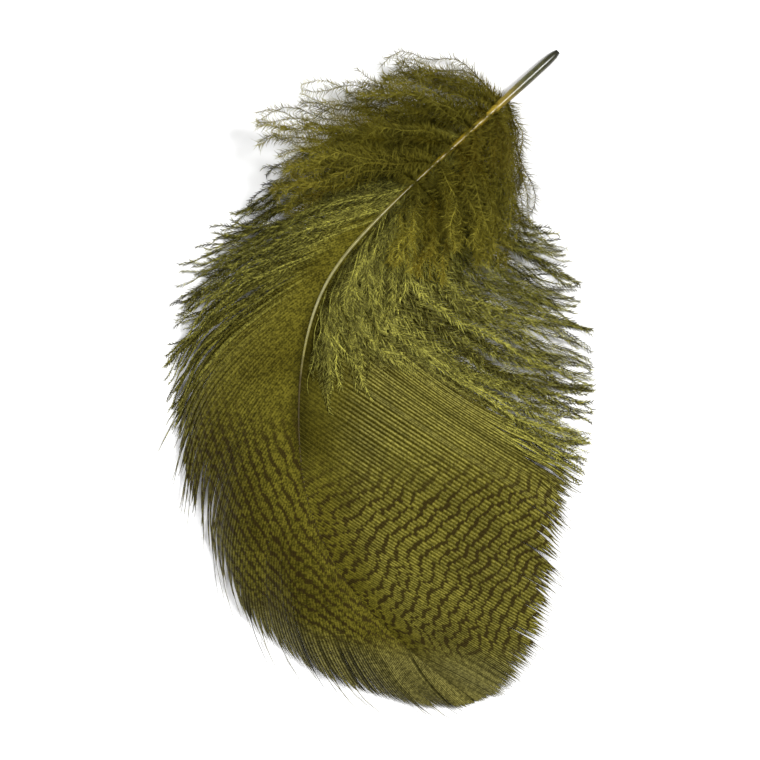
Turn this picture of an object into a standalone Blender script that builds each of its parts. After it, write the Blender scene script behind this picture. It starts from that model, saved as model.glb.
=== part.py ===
"""A mallard flank feather lying on a table with its outer face up, as one closed solid.

Lengths are in millimetres until the mesh is written, then in metres. The feather lies as it
does in the photo: its tip toward -Y, its quill toward +X +Y, and +Z up off the table.
"""

import math

import bmesh
import bpy
from mathutils import Matrix, Vector

METRES = 0.001
# Moves the outline's middle, and the lowest point, onto the origin.
SET_DOWN = Vector((1.74, -0.4, -0.14))

# The shaft, from the quill's end to the tip, seen from above.
SHAFT_LENGTH = 82.6
SHAFT_STEP = 0.2
SHAFT_START = (17.05, 35.1)
# Distance along the shaft, its heading in degrees off -Y, and the height of its centre line.
SHAFT = (
    (0.0, -47.0, 0.55),
    (12.0, -47.0, 2.6),
    (22.0, -45.5, 5.0),
    (31.0, -38.5, 6.7),
    (38.0, -18.5, 7.4),
    (45.0, -5.5, 7.6),
    (55.0, 8.5, 7.1),
    (62.0, 25.0, 6.1),
    (70.0, 39.0, 4.3),
    (82.6, 53.0, 0.7),
)
QUILL_RADIUS = 0.52
TIP_RADIUS = 0.24
SLIMMING_POWER = 0.9
# The quill's end: how long its rounding is, the rings on it, and its radius as a share.
ROUNDED_LENGTH = 1.2
ROUNDED_PLACES = (0.0, 0.18, 0.55)
ROUNDED_SHARE = 0.45
RING_COUNT = 34
SHAFT_SIDES = 8

# The barbs of each vane: the distance along the shaft where a barb leaves it, the angle between
# the two, and the point of the rim, seen from above, that the barb runs to.
OUTER_BARBS = (
    (12.0, 60.0, -1.0, 28.0),
    (16.0, 45.0, -9.6, 24.4),
    (20.0, 34.0, -17.0, 17.6),
    (28.0, 28.0, -23.0, 6.0),
    (35.0, 30.0, -23.2, -6.0),
    (42.0, 34.0, -19.6, -18.0),
    (48.0, 32.0, -15.6, -25.0),
    (54.0, 30.0, -10.2, -29.6),
    (60.0, 26.0, -4.4, -32.4),
    (66.0, 22.0, 1.0, -33.8),
    (72.0, 20.0, 4.6, -34.3),
    (78.0, 18.0, 6.9, -34.2),
    (82.6, 0.0, 8.6, -33.6),
)
INNER_BARBS = (
    (12.0, 50.0, 13.6, 19.6),
    (16.0, 50.0, 17.0, 13.4),
    (20.0, 51.0, 19.0, 7.4),
    (28.0, 60.0, 19.4, -1.4),
    (35.0, 68.0, 18.8, -8.2),
    (42.0, 66.0, 18.0, -14.4),
    (48.0, 56.0, 17.2, -19.8),
    (54.0, 48.0, 16.2, -24.8),
    (60.0, 38.0, 14.8, -28.6),
    (66.0, 28.0, 13.0, -31.2),
    (72.0, 20.0, 11.6, -32.4),
    (78.0, 16.0, 10.2, -33.1),
    (82.6, 0.0, 8.6, -33.6),
)
OUTER = -1
INNER = 1
BARBS = {OUTER: OUTER_BARBS, INNER: INNER_BARBS}
# How far along the line to the rim a barb keeps its first heading before it bends.
BARB_HANDLE = {OUTER: 0.58, INNER: 0.5}

# The vanes: columns of barbs side by side, gathered in locks that come free near the rim.
VANE_START = 16.0
VANE_END = 79.4
COLUMNS = 42
NARROW_LOCK = 2
WIDE_LOCK = 3
WIDE_LOCKS_FROM = {OUTER: 38.0, INNER: 66.0}
VANE_THICKNESS = 0.4
DROOP_POWER = 1.9
RIM_HEIGHT = 0.3
RIM_CURL = 0.7
# How far the rim's wave turns for each millimetre of shaft, in radians.
RIM_WAVE = 0.62
# The ridge along a lock's middle: its height, how fast it rises, and how much the tip loses.
LOCK_RIDGE = 0.32
RIDGE_RISE = 6.0
RIDGE_LOSS = 0.7
ROWS = (0.0, 0.09, 0.2, 0.32, 0.44, 0.55, 0.65, 0.74, 0.82, 0.89, 0.95, 1.0)
# The row where neighbouring locks part, and how that row changes from lock to lock.
FLUFFY_SPLIT_ROW = 7
SMOOTH_SPLIT_ROW = 8
SPLIT_ROW_STEP = 5
SPLIT_ROW_CHOICES = 3
FLUFF_END = 38.0
SPLITS_END = 68.0
LOCK_TAPER = 0.55
NOTCH_POWER = 0.75
LOCK_LENGTH_CHANGE = 0.03
LOCK_LENGTH_WAVE = 1.2

# The down: tapered locks round the base of the shaft. Angles are in degrees.
DOWN_LOCKS = 30
DOWN_START = 7.5
DOWN_END = 21.0
DOWN_LENGTH = (10.0, 17.0)
DOWN_SHORTEST_SHARE = 0.25
DOWN_LENGTH_CHANGE = 0.12
DOWN_LENGTH_WAVE = 1.7
DOWN_LAYER_LIFTS = (-14.0, 14.0, 42.0)
DOWN_FALL = 1.5
DOWN_SIDEWAYS = 70.0
DOWN_TURN = 18.0
DOWN_TURN_WAVE = 2.4
DOWN_BEND = 46.0
DOWN_RADIUS = 1.35
DOWN_ROOT_RADIUS = 0.35
DOWN_TIP_RADIUS = 0.16
DOWN_SWELL_START = 0.12
DOWN_SWELL_POWER = 0.8
DOWN_GAP_BELOW = 0.02
DOWN_POINTS = 7
DOWN_SIDES = 6

OLIVE = (0.086, 0.073, 0.013, 1.0)
OLIVE_ROUGHNESS = 0.6
MERGE_DISTANCE = 1e-7


def eased(rows, column, at):
    """The column's value at a distance along the shaft, on a smooth curve through the rows."""
    last = len(rows) - 1
    at = min(max(at, rows[0][0]), rows[last][0])
    i = 0
    while i < last - 1 and rows[i + 1][0] < at:
        i += 1

    def slope(k):
        before = rows[max(k - 1, 0)]
        after = rows[min(k + 1, last)]
        return (after[column] - before[column]) / (after[0] - before[0])

    width = rows[i + 1][0] - rows[i][0]
    t = (at - rows[i][0]) / width
    return (
        (2 * t**3 - 3 * t**2 + 1) * rows[i][column]
        + (t**3 - 2 * t**2 + t) * width * slope(i)
        + (3 * t**2 - 2 * t**3) * rows[i + 1][column]
        + (t**3 - t**2) * width * slope(i + 1)
    )


def step_along(point, heading, length):
    """The plan point reached by going this far on a heading in degrees off -Y."""
    angle = math.radians(heading)
    return (point[0] + length * math.sin(angle), point[1] - length * math.cos(angle))


def trace_shaft():
    """Plan points along the shaft, one every SHAFT_STEP."""
    points = [SHAFT_START]
    for i in range(round(SHAFT_LENGTH / SHAFT_STEP)):
        heading = eased(SHAFT, 1, (i + 0.5) * SHAFT_STEP)
        points.append(step_along(points[-1], heading, SHAFT_STEP))
    return points


SHAFT_PATH = trace_shaft()


def shaft_point(at):
    """The centre of the shaft at a distance from the quill's end."""
    place = min(max(at / SHAFT_STEP, 0.0), len(SHAFT_PATH) - 1.001)
    i = int(place)
    before = SHAFT_PATH[i]
    after = SHAFT_PATH[i + 1]
    share = place - i
    x = before[0] + (after[0] - before[0]) * share
    y = before[1] + (after[1] - before[1]) * share
    return Vector((x, y, eased(SHAFT, 2, at)))


def barb_point(side, at, along, rim_height):
    """A point on a barb: `along` runs from 0 at the shaft to 1 at the rim."""
    root = shaft_point(at)
    rim = Vector((eased(BARBS[side], 2, at), eased(BARBS[side], 3, at), rim_height))
    chord = math.hypot(rim.x - root.x, rim.y - root.y)
    heading = eased(SHAFT, 1, at) + side * eased(BARBS[side], 1, at)
    handle = step_along((root.x, root.y), heading, BARB_HANDLE[side] * chord)
    near = (1.0 - along) ** 2
    middle = 2.0 * along * (1.0 - along)
    far = along**2
    x = near * root.x + middle * handle[0] + far * rim.x
    y = near * root.y + middle * handle[1] + far * rim.y
    droop = min(along, 1.0) ** DROOP_POWER
    return Vector((x, y, root.z + (rim.z - root.z) * droop))


def rim_height(side, at):
    """The rim rests on the table here and there and curls a little off it between."""
    wave = 0.5 - 0.5 * math.cos(at * RIM_WAVE + side)
    return RIM_HEIGHT + RIM_CURL * wave


def column_place(column):
    """Where a column leaves the shaft: the last one runs on from the shaft's tip."""
    if column == COLUMNS:
        return SHAFT_LENGTH
    return VANE_START + (VANE_END - VANE_START) * column / (COLUMNS - 1)


def lock_edges(side):
    """The columns that bound this vane's locks: few to a lock, then more where barbs crowd."""
    edges = [0]
    while edges[-1] < COLUMNS:
        wide = column_place(edges[-1]) >= WIDE_LOCKS_FROM[side]
        edges.append(min(edges[-1] + (WIDE_LOCK if wide else NARROW_LOCK), COLUMNS))
    if edges[-1] - edges[-2] < NARROW_LOCK:
        edges.pop(-2)
    return edges


def split_row(side, column):
    """The row where two locks that meet at this column come apart."""
    if column_place(column) < FLUFF_END:
        return FLUFFY_SPLIT_ROW + (column // 2 + (side > 0)) % 2
    if column_place(column) > SPLITS_END:
        return len(ROWS) - 1
    return SMOOTH_SPLIT_ROW + (column * SPLIT_ROW_STEP + side) % SPLIT_ROW_CHOICES


def vane_point(side, lock, column, row):
    """A corner of the sheet, on a lock between two of its vane's edge columns."""
    first, last = lock
    along = ROWS[row]
    across = (column - first) / (last - first)
    starts = (split_row(side, first), split_row(side, last))
    free_row = starts[0] if across < 0.5 else starts[1]
    if 0.0 < across < 1.0:
        free_row = min(starts)
    free = 0.0
    if row > free_row:
        free = (along - ROWS[free_row]) / (1.0 - ROWS[free_row])
    middle = 0.5 * (column_place(first) + column_place(last))
    place = column_place(column)
    place += (middle - place) * LOCK_TAPER * free**NOTCH_POWER
    reach = along * (1.0 + LOCK_LENGTH_CHANGE * math.sin(first * LOCK_LENGTH_WAVE + side) * free)
    point = barb_point(side, place, reach, rim_height(side, middle))
    ridge = math.sin(math.pi * across) * min(1.0, along * RIDGE_RISE)
    point.z += LOCK_RIDGE * ridge * (1.0 - RIDGE_LOSS * free)
    return point


def make_object(name, mesh):
    made = bpy.data.objects.new(name, mesh)
    bpy.context.scene.collection.objects.link(made)
    return made


def make_vanes():
    """Both vanes as one open sheet with the locks free at the rim, then given its thickness."""
    sheet = bmesh.new()
    corners = {}

    def corner(side, lock, column, row):
        shared = row == 0 or column == COLUMNS
        between = column in lock and row <= split_row(side, column)
        key = (column, row) if shared else (side, column, row)
        if not shared and column in lock and not between:
            key = (side, lock, column, row)
        if key not in corners:
            point = vane_point(side, lock, column, row)
            corners[key] = sheet.verts.new(point * METRES)
        return corners[key]

    for side in (OUTER, INNER):
        edges = lock_edges(side)
        for lock in zip(edges, edges[1:]):
            for column in range(*lock):
                for row in range(len(ROWS) - 1):
                    face = [
                        corner(side, lock, column, row),
                        corner(side, lock, column + 1, row),
                        corner(side, lock, column + 1, row + 1),
                        corner(side, lock, column, row + 1),
                    ]
                    sheet.faces.new(face if side == INNER else reversed(face))
    mesh = bpy.data.meshes.new("vanes")
    sheet.to_mesh(mesh)
    sheet.free()
    vanes = make_object("vanes", mesh)
    thicken = vanes.modifiers.new("thickness", "SOLIDIFY")
    thicken.thickness = VANE_THICKNESS * METRES
    thicken.offset = 0.0
    return vanes


def make_tube(name, points, radii, sides):
    """A round solid along a path, with a radius at each point and its ends closed."""
    curve = bpy.data.curves.new(name, "CURVE")
    curve.dimensions = "3D"
    curve.bevel_depth = METRES
    curve.bevel_resolution = (sides - 4) // 2
    curve.use_fill_caps = True
    path = curve.splines.new("POLY")
    path.points.add(len(points) - 1)
    for knot, point, radius in zip(path.points, points, radii):
        knot.co = (*(point * METRES), 1.0)
        knot.radius = radius
    guide = make_object(name + "_path", curve)
    graph = bpy.context.evaluated_depsgraph_get()
    mesh = bpy.data.meshes.new_from_object(guide.evaluated_get(graph))
    bpy.data.objects.remove(guide)
    shape = bmesh.new()
    shape.from_mesh(mesh)
    bmesh.ops.remove_doubles(shape, verts=shape.verts, dist=MERGE_DISTANCE)
    bmesh.ops.recalc_face_normals(shape, faces=shape.faces)
    shape.to_mesh(mesh)
    shape.free()
    return make_object(name, mesh)


def make_shaft():
    """The bare quill, rounded at its end, running on as the rachis to the tip."""
    places = list(ROUNDED_PLACES)
    for i in range(RING_COUNT):
        places.append(ROUNDED_LENGTH + (SHAFT_LENGTH - ROUNDED_LENGTH) * i / (RING_COUNT - 1))
    points = []
    radii = []
    for at in places:
        points.append(shaft_point(at))
        slim = QUILL_RADIUS + (TIP_RADIUS - QUILL_RADIUS) * (at / SHAFT_LENGTH) ** SLIMMING_POWER
        rounding = ROUNDED_SHARE + (1.0 - ROUNDED_SHARE) * math.sqrt(at / ROUNDED_LENGTH)
        radii.append(slim * min(1.0, rounding))
    return make_tube("shaft", points, radii, SHAFT_SIDES)


def down_lock(i):
    """Lock i of the down: it leaves the shaft sideways, swells, and thins to its tip."""
    share = (i + 0.5) / DOWN_LOCKS
    side = OUTER if i % 2 else INNER
    at = DOWN_START + (DOWN_END - DOWN_START) * share
    layer = (i // 2) % len(DOWN_LAYER_LIFTS)
    lift = math.radians(DOWN_LAYER_LIFTS[layer])
    turn = DOWN_TURN * math.sin(i * DOWN_TURN_WAVE)
    longer = DOWN_SHORTEST_SHARE + (1.0 - DOWN_SHORTEST_SHARE) * share
    length = DOWN_LENGTH[0] + (DOWN_LENGTH[1] - DOWN_LENGTH[0]) * longer
    length *= 1.0 + DOWN_LENGTH_CHANGE * math.sin(i * DOWN_LENGTH_WAVE)
    heading = eased(SHAFT, 1, at) + side * (DOWN_SIDEWAYS + turn)
    place = shaft_point(at)
    points = [Vector(place)]
    radii = [DOWN_ROOT_RADIUS]
    reach = length / (DOWN_POINTS - 1)
    for k in range(1, DOWN_POINTS):
        along = k / (DOWN_POINTS - 1)
        bent = heading - side * DOWN_BEND * along
        rise = lift * (1.0 - DOWN_FALL * along)
        plan = step_along((place.x, place.y), bent, reach * math.cos(rise))
        place = Vector((plan[0], plan[1], place.z + reach * math.sin(rise)))
        swell = math.sin(math.pi * (DOWN_SWELL_START + (1.0 - DOWN_SWELL_START) * along))
        radius = DOWN_RADIUS * swell**DOWN_SWELL_POWER + DOWN_TIP_RADIUS
        place.z = max(place.z, radius + DOWN_GAP_BELOW)
        points.append(Vector(place))
        radii.append(radius)
    return make_tube("down_%02d" % i, points, radii, DOWN_SIDES)


def make_material():
    olive = bpy.data.materials.new("olive_feather")
    olive.use_nodes = True
    shader = olive.node_tree.nodes["Principled BSDF"]
    shader.inputs["Base Color"].default_value = OLIVE
    shader.inputs["Roughness"].default_value = OLIVE_ROUGHNESS
    return olive


def fuse(base, others):
    """The base joined with all the others into one closed body."""
    helpers = bpy.data.collections.new("helpers")
    bpy.context.scene.collection.children.link(helpers)
    helpers.hide_render = True
    for other in others:
        bpy.context.scene.collection.objects.unlink(other)
        helpers.objects.link(other)
        other.hide_render = True
        other.display_type = "WIRE"
    join = base.modifiers.new("join", "BOOLEAN")
    join.operation = "UNION"
    join.solver = "EXACT"
    join.operand_type = "COLLECTION"
    join.collection = helpers
    join.use_self = True
    graph = bpy.context.evaluated_depsgraph_get()
    joined = bpy.data.meshes.new_from_object(base.evaluated_get(graph))
    for helper in list(helpers.objects):
        bpy.data.objects.remove(helper)
    bpy.data.objects.remove(base)
    bpy.data.collections.remove(helpers)
    return joined


def fill_pockets(mesh):
    """Keep only the outer surface, so that no small hollow stays sealed between locks."""
    surface = bmesh.new()
    surface.from_mesh(mesh)
    unseen = set(surface.faces)
    largest = set()
    while unseen:
        group = {unseen.pop()}
        edge_of_group = list(group)
        while edge_of_group:
            face = edge_of_group.pop()
            for edge in face.edges:
                for near in edge.link_faces:
                    if near in unseen:
                        unseen.discard(near)
                        group.add(near)
                        edge_of_group.append(near)
        if len(group) > len(largest):
            largest = group
    inner = [face for face in surface.faces if face not in largest]
    bmesh.ops.delete(surface, geom=inner, context="FACES")
    surface.to_mesh(mesh)
    surface.free()


def main():
    for left_over in list(bpy.data.objects):
        bpy.data.objects.remove(left_over)
    others = [make_shaft()]
    for i in range(DOWN_LOCKS):
        others.append(down_lock(i))
    mesh = fuse(make_vanes(), others)
    fill_pockets(mesh)
    mesh.transform(Matrix.Translation(SET_DOWN * METRES))
    mesh.materials.clear()
    mesh.materials.append(make_material())
    mesh.shade_smooth()
    make_object("feather", mesh)


main()
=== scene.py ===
"""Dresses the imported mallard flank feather: shaft, barbs, barbules and down, with its barring.

Lengths are in millimetres until a mesh is made, then in metres. A place on the feather is given
by its distance along the shaft from the quill's end, and by how far out it lies along a barb.
The form (shaft, barbs, droop and down) follows the same named values as the solid it dresses.
"""

import math

import bpy
import numpy as np
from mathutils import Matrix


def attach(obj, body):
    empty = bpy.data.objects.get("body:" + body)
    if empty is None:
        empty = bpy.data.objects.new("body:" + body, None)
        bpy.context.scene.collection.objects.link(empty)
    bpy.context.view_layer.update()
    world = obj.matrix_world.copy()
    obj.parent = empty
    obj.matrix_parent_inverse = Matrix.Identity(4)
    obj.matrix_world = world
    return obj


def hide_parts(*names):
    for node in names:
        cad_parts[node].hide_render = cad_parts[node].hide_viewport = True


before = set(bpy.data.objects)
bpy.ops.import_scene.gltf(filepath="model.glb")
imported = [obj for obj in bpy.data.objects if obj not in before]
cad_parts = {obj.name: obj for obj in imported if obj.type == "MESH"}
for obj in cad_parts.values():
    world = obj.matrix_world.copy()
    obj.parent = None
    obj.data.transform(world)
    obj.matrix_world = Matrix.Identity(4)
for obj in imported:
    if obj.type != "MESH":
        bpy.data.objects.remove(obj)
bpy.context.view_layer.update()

METRES = 0.001
FULL_TURN = 2.0 * math.pi
UP = np.array((0.0, 0.0, 1.0))
# Centres the outline and brings the rim down to the surface.
SET_DOWN = np.array((1.74, -0.4, -0.14))

# The shaft: distance from the quill's end, heading off -Y in degrees, height of its centre.
SHAFT_LENGTH = 82.6
SHAFT_STEP = 0.1
SHAFT_START = (17.05, 35.1)
SHAFT = np.array((
    (0.0, -47.0, 0.55),
    (12.0, -47.0, 2.6),
    (22.0, -45.5, 5.0),
    (31.0, -38.5, 6.7),
    (38.0, -18.5, 7.4),
    (45.0, -5.5, 7.6),
    (55.0, 8.5, 7.1),
    (62.0, 25.0, 6.1),
    (70.0, 39.0, 4.3),
    (82.6, 53.0, 0.7),
))
# Distance from the quill's end and the shaft's radius there.
SHAFT_RADIUS = np.array((
    (0.0, 0.26),
    (0.5, 0.42),
    (1.5, 0.5),
    (5.0, 0.52),
    (9.0, 0.44),
    (16.0, 0.3),
    (24.0, 0.2),
    (32.0, 0.16),
    (40.0, 0.14),
    (48.0, 0.11),
    (60.0, 0.08),
    (82.6, 0.04),
))
# How far the shaft's centre stands above the barbs' roots, and where it sinks between them.
SHAFT_PROUD = 0.06
SHAFT_SUNK = -0.06
SHAFT_SINKS = (42.0, 54.0)
# Where the sweep has its rings: close together on the round quill end, then evenly.
QUILL_END_RINGS = (0.0, 0.12, 0.3, 0.6, 1.0)
SHAFT_RINGS_FROM = 1.5
SHAFT_RING_STEP = 0.8

# Barbs: distance where one leaves the shaft, its angle off the shaft, and its rim point.
OUTER_BARBS = np.array((
    (12.0, 60.0, -1.0, 28.0),
    (16.0, 45.0, -9.6, 24.4),
    (20.0, 34.0, -17.0, 17.6),
    (28.0, 28.0, -23.0, 6.0),
    (35.0, 30.0, -23.2, -6.0),
    (42.0, 34.0, -19.6, -18.0),
    (48.0, 32.0, -15.6, -25.0),
    (54.0, 30.0, -10.2, -29.6),
    (60.0, 26.0, -4.4, -32.4),
    (66.0, 22.0, 1.0, -33.8),
    (72.0, 20.0, 4.6, -34.3),
    (78.0, 18.0, 6.9, -34.2),
    (82.6, 0.0, 8.6, -33.6),
))
INNER_BARBS = np.array((
    (12.0, 50.0, 13.6, 19.6),
    (16.0, 50.0, 17.0, 13.4),
    (20.0, 51.0, 19.0, 7.4),
    (28.0, 60.0, 19.4, -1.4),
    (35.0, 68.0, 18.8, -8.2),
    (42.0, 66.0, 18.0, -14.4),
    (48.0, 56.0, 17.2, -19.8),
    (54.0, 48.0, 16.2, -24.8),
    (60.0, 38.0, 14.8, -28.6),
    (66.0, 28.0, 13.0, -31.2),
    (72.0, 20.0, 11.6, -32.4),
    (78.0, 16.0, 10.2, -33.1),
    (82.6, 0.0, 8.6, -33.6),
))
OUTER = -1
INNER = 1
BARBS = {OUTER: OUTER_BARBS, INNER: INNER_BARBS}
BARB_HANDLE = {OUTER: 0.58, INNER: 0.5}
DROOP_POWER = 1.9
RIM_HEIGHT = 0.3
RIM_CURL = 0.7
# How far the rim's wave turns for each millimetre of shaft, in radians.
RIM_WAVE = 0.62

# The vanes' barbs: where they start, how far apart their roots are, and how uneven that is.
VANE_SEED = 11
LAYER_SEED_STEP = 100
VANE_START = 13.5
BARB_SPACING = {OUTER: 0.46, INNER: 0.44}
SPACING_CHANGE = 0.12
BARB_POINTS = 44

# A barb is a ridge with its web on both sides, and all widths are half widths. The web is a
# share of the way to the next barb, less where the barb is free.
WEB_SHARE = 0.58
WEB_LOSS = 0.4
WEB_LIMITS = (0.042, 0.34)
BARB_THICKNESS = {OUTER: 0.12, INNER: 0.3}
SHINGLE_TILT = 0.12
LOOSE_BARB = 0.05
LOOSE_TAPER = 0.5
HAIR = 0.035
HAIR_FROM = (0.955, 0.99)
TIP_NARROWS = (0.93, 1.0)
TIP_NARROWING = 0.6
THINNEST = 0.015

# Where the vane turns from fluffy barbs to barbs held together by their hooks: how far out and
# how far down the shaft that edge lies, how soft it is, and how much it strays.
FLUFF_EDGE = {
    OUTER: ((0.0, 30.5), (30.0, 30.5)),
    INNER: ((0.0, 39.0), (8.0, 38.0), (12.0, 35.0), (16.0, 32.5), (21.0, 32.5), (27.0, 36.0)),
}
FLUFF_BLUR = {OUTER: 7.5, INNER: 3.5}
FLUFF_STRAYS_DOWN = 0.8
FLUFF_STRAYS_OUT = 0.6
# Near the shaft some barbs are hooked at the root and fluffy farther out.
HOOKED_ROOTS = {OUTER: (20.0, 27.0), INNER: (22.0, 30.0)}
HOOKED_REACH = {OUTER: (2.0, 9.0), INNER: (0.5, 4.5)}
# The fluffy part has more layers of barbs, each a little lower, and the lower ones end here.
FLUFF_LAYERS = 3
FLUFF_END = {OUTER: 38.0, INNER: 42.5}
LAYER_STEP = 0.05
LAYER_DROP = 0.4

# Near the rim the web ends and the tips hang free, sooner where the feather is less firm.
FREE_FROM = {OUTER: 0.88, INNER: 0.9}
FREE_SOONER = {OUTER: 0.28, INNER: 0.06}
FREE_CHANGE = 0.05
FIRM_FROM = (34.0, 48.0)
RESTLESS = {OUTER: 0.18, INNER: 0.1}
# The free tips lean toward the feather's tip, less where they are fluffy or on the lower half.
TIP_LEAN = {OUTER: 1.6, INNER: 0.8}
LEAN_CHANGE = (0.6, 1.15)
LEAN_POWER = 1.4
LEAN_ENDS_WITHIN = 14.0
LEAN_LOSS_IN_FLUFF = 0.6
LEAN_LOSS_BELOW = 0.7
LEAN_FALLS = (42.0, 56.0)
# Barbs differ in length, as shares of their own: each by itself, and with its lock.
LENGTH_CHANGE = 0.012
LENGTH_CHANGE_IN_FLUFF = 0.05
LARGE_LOCK_LENGTH_CHANGE = 0.01
SMALL_LOCK_LENGTH_CHANGE = 0.05
SHORTEST_BARB = 0.8
LENGTHENED = (0.3, 1.0)
# Stray ends reach past the rim: how many barbs have one, and how long it is.
STRAY_SHARE = {OUTER: 0.3, INNER: 0.12}
SHORTEST_STRAY = 0.02
STRAY_LENGTH = {OUTER: 0.16, INNER: 0.035}

# Neighbouring barbs gather in locks: a lock's size along the shaft, then the least and most of
# where it parts from the next one, of how far it gathers, and of how high it stands.
SMALL_LOCKS = {"size": 1.2, "split": (0.15, 0.5), "taper": (0.15, 0.6), "lift": (-0.5, 0.6)}
LARGE_LOCKS = {"size": 3.6, "split": (0.78, 0.94), "taper": (0.0, 0.14), "lift": (-0.15, 0.2)}
LOCK_SIZE_CHANGE = (0.6, 1.45)
BEFORE_FIRST_BARB = 0.01
GATHER_POWER = 0.8
LIFT_POWER = 0.7
LARGE_LIFT = 2.0
# A gap that has opened between barbs: its place on the shaft, its half width and its start.
PARTINGS = {OUTER: ((30.6, 0.2, 0.15),), INNER: ((47.0, 0.3, 0.75),)}
PARTING_FADES = 1.6
PARTING_OPENS = 0.25
# Loose barbs wave slowly and ripple fast. Turns are over a barb's length.
WAVE_TURNS = 1.6
WAVE_SIZE = 0.7
RIPPLE_TURNS = 4.3
RIPPLE_SIZE = 0.28
RIPPLE_AT_TIPS = 0.02
UNEVEN = 0.02
LOWEST_BARB = 0.24
# Half the stretch of shaft over which the way to the next barb is measured.
NEIGHBOUR = 0.05

# How strongly a barb's ridge gets a painted highlight and its web painted shade between the barbs,
# hooked and free, and how grainy it is.
PAINTED_RIDGE_LIGHT = {OUTER: 0.12, INNER: 0.9}
PAINTED_RIDGE_LIGHT_FROM = (1.5, 9.0)
PAINTED_RIDGE_LIGHT_LOSS_IN_BARS = 0.45
FREE_PAINTED_RIDGE_LIGHT = {OUTER: 0.34, INNER: 0.5}
TIP_PAINTED_RIDGE_LIGHT = 0.7
GRAIN = {OUTER: 1.0, INNER: 0.7}

# Shade: of the web, of the barbs' roots on the upper half, close beside the shaft, and of the
# fluff, which is darker near the base and farther out.
WEB_SHADE = {OUTER: 0.86, INNER: 0.95}
ROOT_SHADE = {OUTER: 0.0, INNER: 0.36}
ROOT_REACH = (1.5, 9.0)
SHAFT_SHADE = 0.5
SHAFT_SHADE_REACH = (0.3, 2.2)
SHAFT_SHADE_FROM = (30.0, 38.0)
UPPER_HALF_ENDS = (50.0, 60.0)
BASE_SHADE = 0.55
BASE_SHADE_ENDS = (14.0, 30.0)
FLUFF_SHADE = {OUTER: 0.45, INNER: 0.3}
FLUFF_SHADE_FROM = (5.0, 13.0)

# The dark bars: their period along the shaft, how fast a barb crosses them, how far they step
# from barb to barb near the shaft and farther out, and how far they sweep up and down.
BAR_PERIOD = {OUTER: 5.2, INNER: 1.8}
BAR_CROSSING = {OUTER: 0.3, INNER: 0.78}
BAR_JOGS = {OUTER: (0.9, 0.6), INNER: (2.6, 1.5)}
JOGS_CHANGE = (0.5, 7.0)
BAR_SWEEPS = {OUTER: 1.2, INNER: 3.0}
# Where the bars come in and where the plain tip begins. The last value is how much sooner that
# is for each millimetre out along the barb.
BAR_FADE_IN = {OUTER: (45.0, 53.0, 0.8), INNER: (50.5, 58.5, 0.57)}
BAR_FADE_OUT = {OUTER: (74.0, 79.5, 1.3), INNER: (75.0, 80.5, 0.63)}
BAR_LOSS_IN_TIP = 0.9
BAR_LOSS_AT_RIM = 0.6
RIM_FROM = (0.94, 1.0)
# Added to the place of the inner or taken off the outer barbs, so that their bars differ.
SIDE_OFFSET = 100.0

# Soft barbs that lie over the inner vane beside the shaft. Lengths run along the shaft, widths
# run away from it.
TUFT_SEED = 31
TUFT_BARBS = 84
TUFT_POINTS = 18
TUFT_START = 20.5
TUFT_END = 38.0
TUFT_START_CHANGE = 0.3
TUFT_LAST = (40.0, 49.5)
TUFT_RUN = (8.0, 13.0)
TUFT_SHORTEST_RUN = 4.4
TUFT_WIDTH = (0.7, 7.5)
TUFT_GAP = 0.3
TUFT_OPENS = 0.35
TUFT_WAVE = 0.3
TUFT_WAVE_TURNS = (1.2, 2.6)
TUFT_ABOVE = 0.25
TUFT_FALL = 6.5
TUFT_FALLS_OVER = 24.0
TUFT_LIFT = 0.5
TUFT_SINK = 0.3
TUFT_SINKS = (0.3, 1.2)
TUFT_HALF_WIDTH = (0.05, 0.025)
TUFT_SHADE = 0.45
TUFT_SHADE_REACH = (0.4, 2.4)
TUFT_SHORT_HAIRS = 0.14
TUFT_SHORT_REACH = (0.5, 2.4)

# The down: tapered locks round the base of the shaft. Angles are in degrees.
DOWN_LOCKS = 30
DOWN_POINTS = 14
DOWN_START = 7.5
DOWN_END = 21.0
DOWN_LENGTH = (10.0, 17.0)
DOWN_SHORTEST_SHARE = 0.25
DOWN_LENGTH_CHANGE = 0.12
DOWN_LENGTH_WAVE = 1.7
DOWN_LAYER_LIFTS = (-14.0, 14.0, 42.0)
DOWN_FALL = 1.5
DOWN_SIDEWAYS = 70.0
DOWN_TURN = 18.0
DOWN_TURN_WAVE = 2.4
DOWN_BEND = 46.0
DOWN_RADIUS = 1.35
DOWN_ROOT_RADIUS = 0.35
DOWN_TIP_RADIUS = 0.16
DOWN_SWELL_START = 0.12
DOWN_SWELL_POWER = 0.8
DOWN_GAP_BELOW = 0.02
# Each lock's barbs: how far out in it they run, how they fan out, wave and taper.
DOWN_SEED = 5
BARBS_PER_DOWN_LOCK = 8
DOWN_AROUND = 0.1
DOWN_OUT = (0.35, 0.95)
DOWN_OPENS = (0.0, 0.35)
DOWN_FAN = 2.2
DOWN_FAN_POWER = 1.5
DOWN_WAVE = 0.6
DOWN_WAVE_TURNS = (1.2, 2.8)
DOWN_WAVE_UP = 0.5
DOWN_LOWEST = 0.35
DOWN_HALF_WIDTH = (0.055, 0.02)
# Toward the vane the inner locks end sooner, and all of them grow brighter.
DOWN_TOWARD_VANE = (12.0, 19.0)
DOWN_SHORTENED = 0.34
DOWN_BRIGHTER = {OUTER: 0.3, INNER: 0.7}
DOWN_BRIGHTENS = (0.1, 0.8)
DOWN_PARTS = 2

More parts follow.
